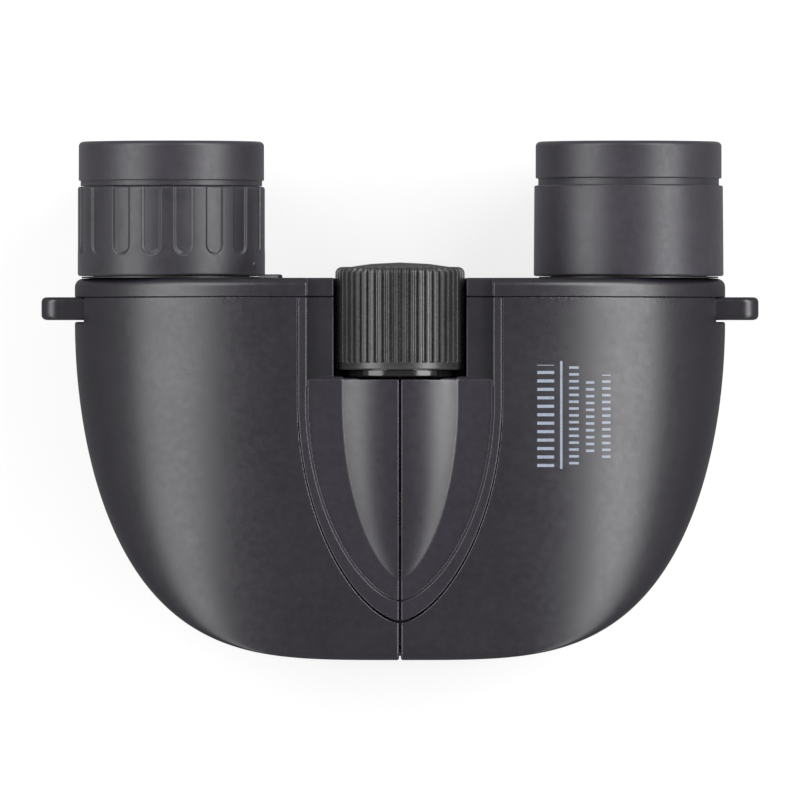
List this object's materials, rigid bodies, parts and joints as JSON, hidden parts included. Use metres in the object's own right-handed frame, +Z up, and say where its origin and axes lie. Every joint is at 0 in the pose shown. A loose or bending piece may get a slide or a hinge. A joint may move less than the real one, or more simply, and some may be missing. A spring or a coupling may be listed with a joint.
{
  "type": "binoculars",
  "caption": "Compact reverse-Porro binoculars that fold about a centre hinge, with a focus wheel, a dioptre ring, rubber eyecups and strap lugs.",
  "frame": {"origin": "centre of the bounding box at its underside, where the open binoculars rest", "axes": "+X from the user's right half to the left half, +Y towards the eyes, +Z up out of the top of the body"},
  "size_m": [0.111, 0.08, 0.042],
  "materials": {
    "shell": "satin black moulded plastic with a fine grain",
    "panel": "satin charcoal moulded plastic, slightly lighter than the shell",
    "rubber": "soft black rubber",
    "wheel": "black ribbed plastic with worn shiny rib tops",
    "black_metal": "black anodised",
    "frame": "die-cast, darkened",
    "steel": "bright spring and pin steel",
    "brass": "turned, lightly greased",
    "coated_glass": "polished, with a blue-violet anti-reflection coating",
    "prism_glass": "polished faces, fine-ground sides"
  },
  "bodies": {
    "right_half": {"hinge_bush": "brass", "hinge_cap": "shell", "hinge_pin": "steel", "right_centre_panel": "panel", "right_end_plate": "shell", "right_eyepiece_tube": "black_metal", "right_front_prism": "prism_glass", "right_front_prism_clip": "steel", "right_housing": "shell", "right_objective_hood": "shell", "right_plate_screw_1": "steel", "right_plate_screw_2": "steel", "right_prism_frame": "frame", "right_rear_prism": "prism_glass", "right_rear_prism_clip": "steel", "right_strap_lug": "shell"},
    "left_half": {"left_centre_panel": "panel", "left_end_plate": "shell", "left_eye_lens": "coated_glass", "left_eye_ring": "black_metal", "left_eyecup": "rubber", "left_eyepiece_tube": "black_metal", "left_field_lens": "coated_glass", "left_front_prism": "prism_glass", "left_front_prism_clip": "steel", "left_housing": "shell", "left_lens_sleeve": "black_metal", "left_objective_hood": "shell", "left_plate_screw_1": "steel", "left_plate_screw_2": "steel", "left_prism_frame": "frame", "left_rear_prism": "prism_glass", "left_rear_prism_clip": "steel", "left_strap_lug": "shell"},
    "focus_wheel": {"focus_screw": "brass", "focus_wheel": "wheel", "wheel_cap": "wheel"},
    "focus_carriage": {"focus_carriage": "brass"},
    "right_objective": {"right_objective_cell": "black_metal", "right_objective_crown": "coated_glass", "right_objective_flint": "coated_glass", "right_objective_retainer": "black_metal"},
    "left_objective": {"left_objective_cell": "black_metal", "left_objective_crown": "coated_glass", "left_objective_flint": "coated_glass", "left_objective_retainer": "black_metal"},
    "dioptre_control": {"dioptre_ring": "rubber", "right_eyecup": "rubber"},
    "right_eyepiece_lenses": {"right_eye_lens": "coated_glass", "right_eye_ring": "black_metal", "right_field_lens": "coated_glass", "right_lens_sleeve": "black_metal"}
  },
  "joints": [
    {"name": "interpupillary_hinge", "type": "hinge", "parent": "right_half", "child": "left_half", "pos_m": [0, 0, 0.032], "axis": [0, 1, 0], "range_deg": [0, 44]},
    {"name": "focus_wheel_turn", "type": "hinge", "parent": "right_half", "child": "focus_wheel", "pos_m": [0, 0.013, 0.032], "axis": [0, 1, 0], "range_deg": [-72, 288]},
    {"name": "carriage_travel", "type": "slide", "parent": "right_half", "child": "focus_carriage", "axis": [0, -1, 0], "range_m": [-0.0006, 0.0024]},
    {"name": "right_objective_travel", "type": "slide", "parent": "right_half", "child": "right_objective", "axis": [0, -1, 0], "range_m": [-0.00061, 0.00241]},
    {"name": "left_objective_travel", "type": "slide", "parent": "left_half", "child": "left_objective", "axis": [0, -1, 0], "range_m": [-0.00061, 0.00241]},
    {"name": "dioptre_turn", "type": "hinge", "parent": "right_half", "child": "dioptre_control", "pos_m": [-0.0354, 0.03, 0.0192], "axis": [0, 1, 0], "range_deg": [-60, 60]},
    {"name": "dioptre_lens_travel", "type": "slide", "parent": "right_half", "child": "right_eyepiece_lenses", "axis": [0, 1, 0], "range_m": [-0.00041, 0.00041]}
  ],
  "couplings": [
    {"joint": "focus_wheel_turn", "follows": "carriage_travel", "rad_per_m": 2094.4},
    {"joint": "right_objective_travel", "follows": "carriage_travel", "ratio": 1},
    {"joint": "left_objective_travel", "follows": "carriage_travel", "ratio": 1},
    {"joint": "dioptre_lens_travel", "follows": "dioptre_turn", "m_per_rad": 0.00038197}
  ]
}
